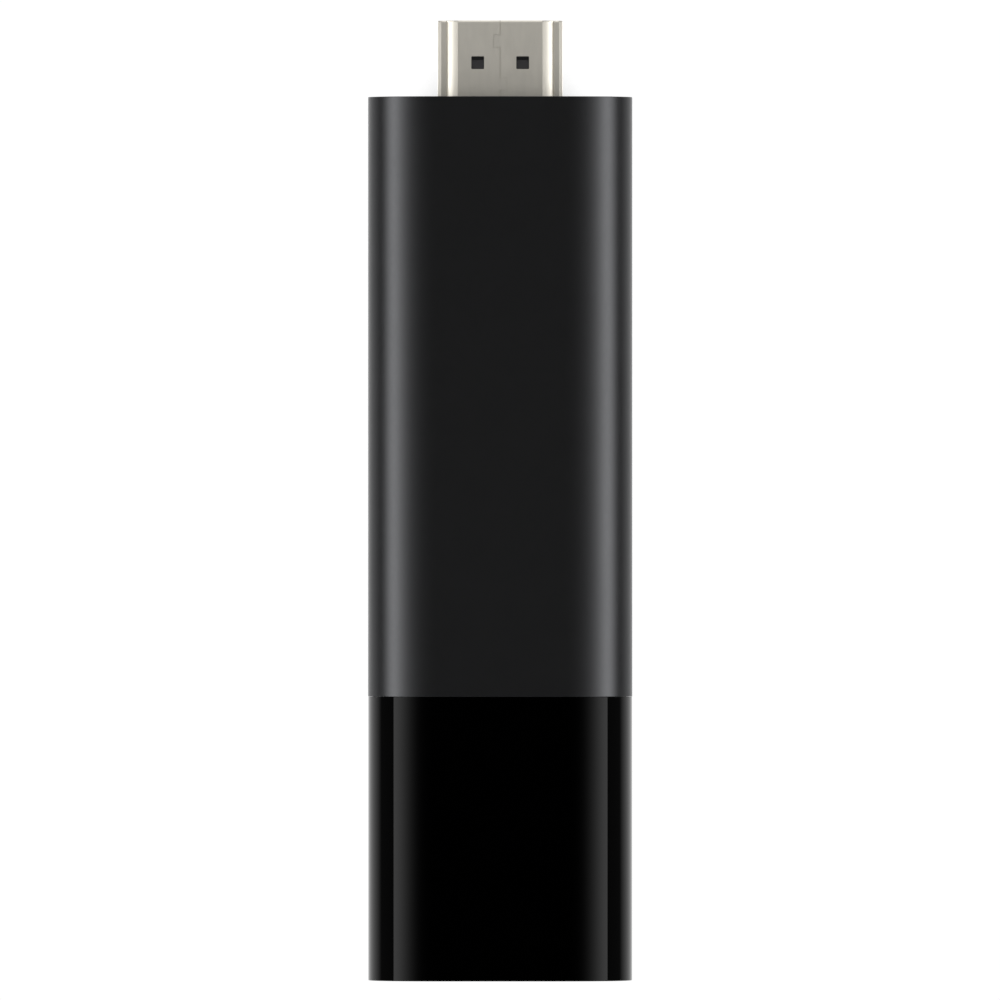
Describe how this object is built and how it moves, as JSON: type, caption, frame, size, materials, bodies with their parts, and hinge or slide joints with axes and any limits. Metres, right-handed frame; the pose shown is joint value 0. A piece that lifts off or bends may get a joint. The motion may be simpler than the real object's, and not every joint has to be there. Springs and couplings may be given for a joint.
{
  "type": "streaming media player",
  "caption": "Stick-form streaming media player: matte sleeve with half-round sides, glossy end cap, steel video plug at one end, power port and reset button at the other.",
  "frame": {"origin": "on the plane the stick rests on, under the middle of its bounding box", "axes": "+Y along the stick and out of the video plug, +Z out of the front face, +X to the right when the front face is seen with the plug up"},
  "size_m": [0.0294, 0.1068, 0.0154],
  "materials": {
    "sleeve_plastic": "fine satin texture",
    "cap_plastic": "piano gloss",
    "inner_plastic": "moulded",
    "connector_plastic": "moulded",
    "plated_steel": "satin nickel plating",
    "contact_gold": "gold flash",
    "tinned_steel": "bright tin",
    "screw_steel": "zinc plated",
    "spreader_aluminium": "rolled",
    "board_laminate": "solder mask",
    "chip_resin": "moulded resin",
    "pad_silicone": "soft silicone",
    "gasket_foam": "conductive foam",
    "clear_plastic": "clear",
    "led_resin": "clear resin"
  },
  "bodies": {
    "player": {"antenna_left": "plated_steel", "antenna_right": "plated_steel", "board_screw_1": "screw_steel", "board_screw_2": "screw_steel", "bottom_heat_spreader": "spreader_aluminium", "bottom_shield_can": "tinned_steel", "bottom_thermal_pad": "pad_silicone", "bulk_capacitor": "gasket_foam", "clock_crystal": "tinned_steel", "end_cap": "cap_plastic", "flash_chip": "chip_resin", "inner_chassis": "inner_plastic", "light_pipe": "clear_plastic", "main_board": "board_laminate", "memory_chip_1": "chip_resin", "memory_chip_2": "chip_resin", "plug_contact_01": "contact_gold", "plug_contact_02": "contact_gold", "plug_contact_03": "contact_gold", "plug_contact_04": "contact_gold", "plug_contact_05": "contact_gold", "plug_contact_06": "contact_gold", "plug_contact_07": "contact_gold", "plug_contact_08": "contact_gold", "plug_contact_09": "contact_gold", "plug_contact_10": "contact_gold", "plug_contact_11": "contact_gold", "plug_contact_12": "contact_gold", "plug_contact_13": "contact_gold", "plug_contact_14": "contact_gold", "plug_contact_15": "contact_gold", "plug_contact_16": "contact_gold", "plug_contact_17": "contact_gold", "plug_contact_18": "contact_gold", "plug_contact_19": "contact_gold", "plug_gasket": "gasket_foam", "plug_insulator": "connector_plastic", "plug_shell": "plated_steel", "port_contact_1": "contact_gold", "port_contact_2": "contact_gold", "port_contact_3": "contact_gold", "port_contact_4": "contact_gold", "port_contact_5": "contact_gold", "port_shell": "plated_steel", "port_tongue": "connector_plastic", "power_chip": "chip_resin", "power_inductor": "chip_resin", "processor_chip": "chip_resin", "reset_switch_body": "connector_plastic", "sleeve_housing": "sleeve_plastic", "spreader_screw_1": "screw_steel", "spreader_screw_2": "screw_steel", "status_led": "led_resin", "top_heat_spreader": "spreader_aluminium", "top_shield_frame": "tinned_steel", "top_shield_lid": "tinned_steel", "top_thermal_pad": "pad_silicone", "wireless_module": "tinned_steel"},
    "button": {"reset_button": "cap_plastic", "reset_switch_plunger": "inner_plastic"}
  },
  "joints": [
    {"name": "reset_press", "type": "slide", "parent": "player", "child": "button", "axis": [0, 1, 0], "range_m": [0, 0.0003], "stiffness_N_per_m": 5000}
  ]
}
